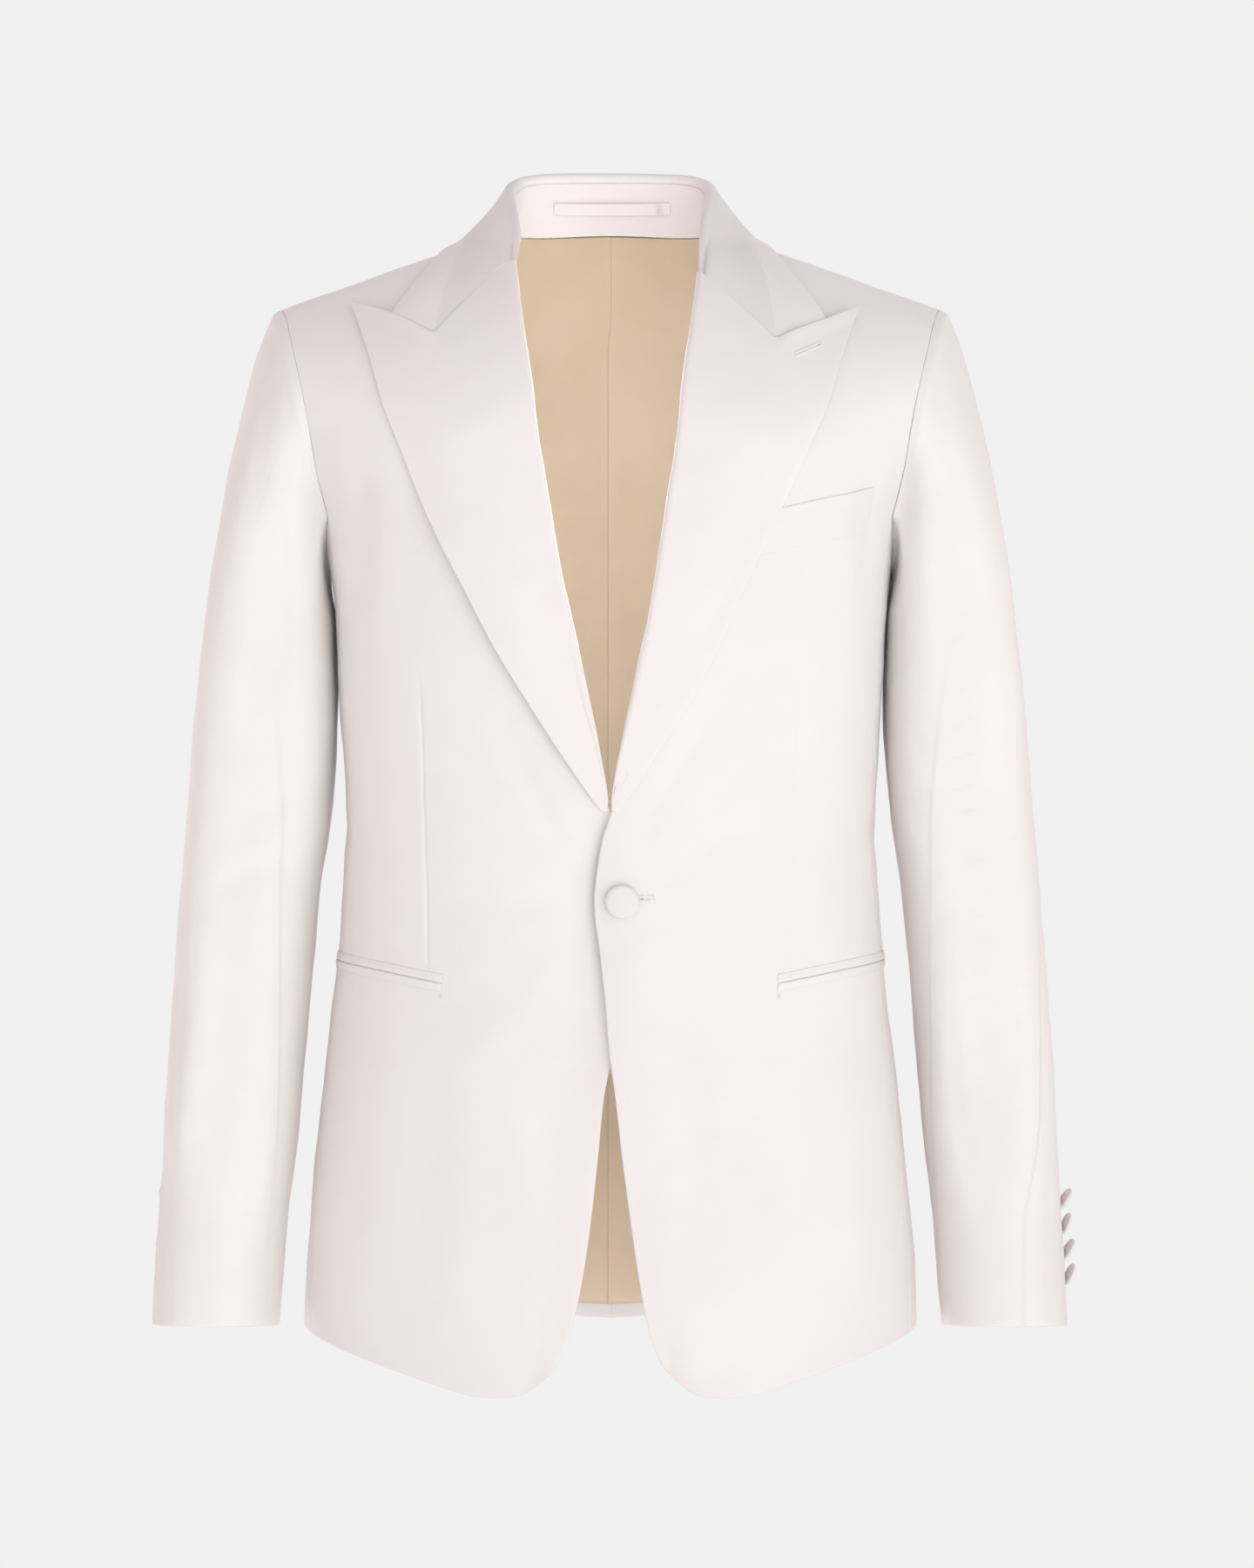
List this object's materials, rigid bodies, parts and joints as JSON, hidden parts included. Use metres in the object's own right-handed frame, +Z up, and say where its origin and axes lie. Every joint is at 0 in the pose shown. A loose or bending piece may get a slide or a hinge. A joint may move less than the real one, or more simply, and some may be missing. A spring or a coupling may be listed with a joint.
{
  "type": "tuxedo jacket",
  "caption": "Single-breasted, one-button dinner jacket with peak lapels and jetted pockets, worn open at the neck and filled out on no one.",
  "frame": {"origin": "where the wearer's shoulders carry the jacket: on its middle plane, level with the outer third of the shoulder seams", "axes": "+Z up along the wearer, -Y to the front, +X to the wearer's left"},
  "size_m": [0.6056, 0.281, 0.7975],
  "materials": {
    "ivory_cloth": "smooth wool with a soft sheen",
    "lapel_facing": "satin weave, soft sheen",
    "stand_cloth": "matt wool",
    "trim_cloth": "satin weave, soft sheen",
    "covered_button": "satin drawn over a domed button",
    "lining": "lustrous lining twill"
  },
  "bodies": {
    "root": {"back_left": "ivory_cloth", "back_right": "ivory_cloth", "chest_welt": "trim_cloth", "collar_leaf": "lapel_facing", "collar_stand": "stand_cloth", "cuff_button_left_1": "covered_button", "cuff_button_left_2": "covered_button", "cuff_button_left_3": "covered_button", "cuff_button_left_4": "covered_button", "cuff_button_right_1": "covered_button", "cuff_button_right_2": "covered_button", "cuff_button_right_3": "covered_button", "cuff_button_right_4": "covered_button", "front_button": "covered_button", "front_left": "ivory_cloth", "front_right": "ivory_cloth", "hanger_loop": "stand_cloth", "hip_jet_lower_left": "trim_cloth", "hip_jet_lower_right": "trim_cloth", "hip_jet_upper_left": "trim_cloth", "hip_jet_upper_right": "trim_cloth", "lapel_left": "lapel_facing", "lapel_right": "lapel_facing", "lining_back_left": "lining", "lining_back_right": "lining", "side_left": "ivory_cloth", "side_right": "ivory_cloth", "sleeve_under_left": "ivory_cloth", "sleeve_under_right": "ivory_cloth", "sleeve_upper_left": "ivory_cloth", "sleeve_upper_right": "ivory_cloth"}
  },
  "joints": []
}
